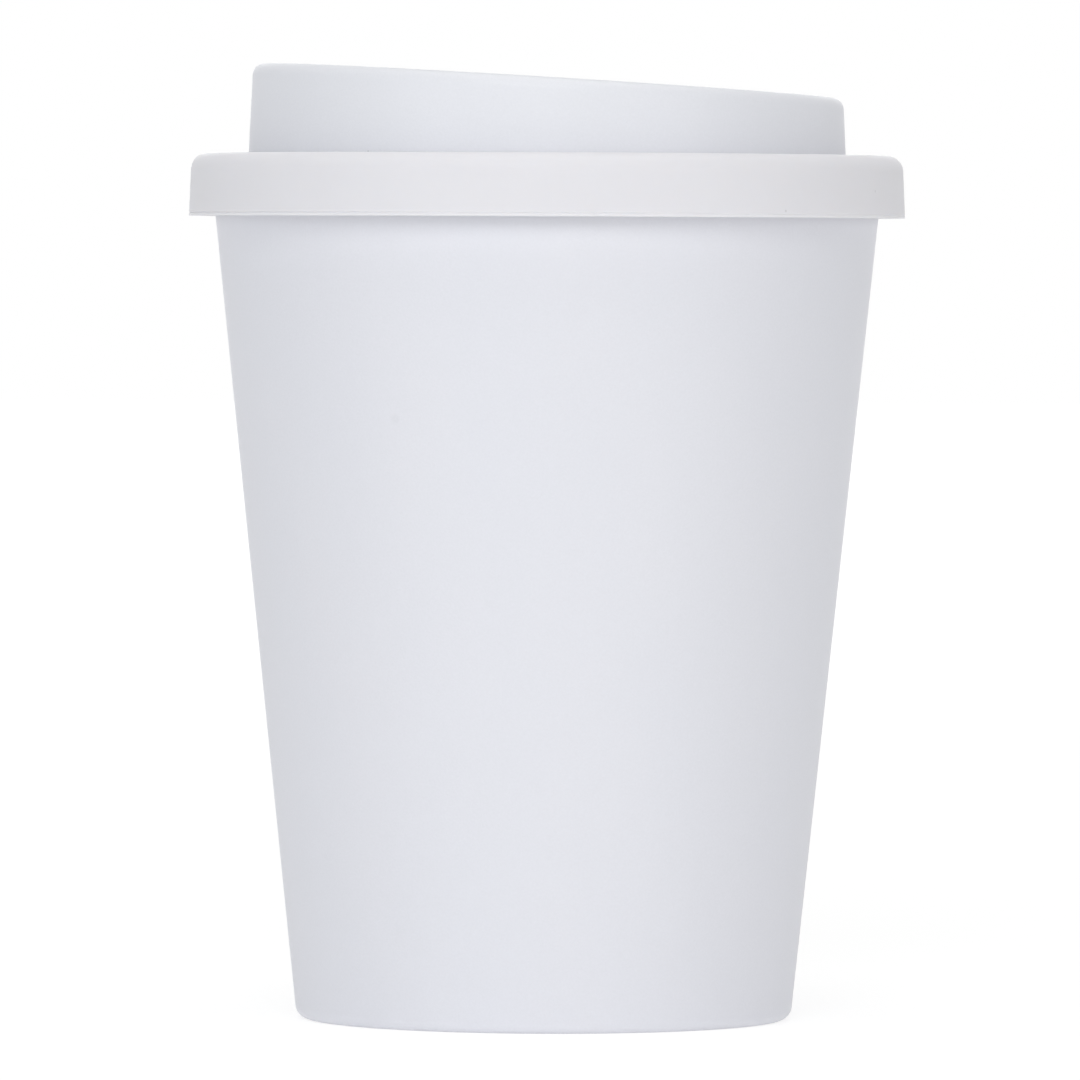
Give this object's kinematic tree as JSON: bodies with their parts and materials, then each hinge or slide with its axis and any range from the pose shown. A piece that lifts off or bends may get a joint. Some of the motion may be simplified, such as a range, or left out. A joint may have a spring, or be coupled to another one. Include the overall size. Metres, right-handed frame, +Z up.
{
  "type": "reusable coffee cup",
  "caption": "Tapered white coffee cup with a push-on lid: an overhanging soft brim ring that grips the mouth, and a low dome with a slanted lip over a sunken drinking deck.",
  "frame": {"origin": "on the cup's axis, at the surface that the foot ring stands on", "axes": "+Z up along the cup's axis; -X towards the high side of the lid's lip, where the drinking slot is; the picture looks along +Y"},
  "size_m": [0.092, 0.092, 0.1226],
  "materials": {
    "cup_plastic": "fine matte, cool white moulded polypropylene",
    "ring_silicone": "soft matte, neutral white silicone",
    "dome_plastic": "fine matte, cool white moulded polypropylene"
  },
  "bodies": {
    "cup": {"cup": "cup_plastic"},
    "lid": {"lid_ring": "ring_silicone", "lid_dome": "dome_plastic"}
  },
  "joints": [
    {"name": "lid_lift", "type": "slide", "parent": "cup", "child": "lid", "axis": [0, 0, 1], "range_m": [0, 0.03]}
  ]
}
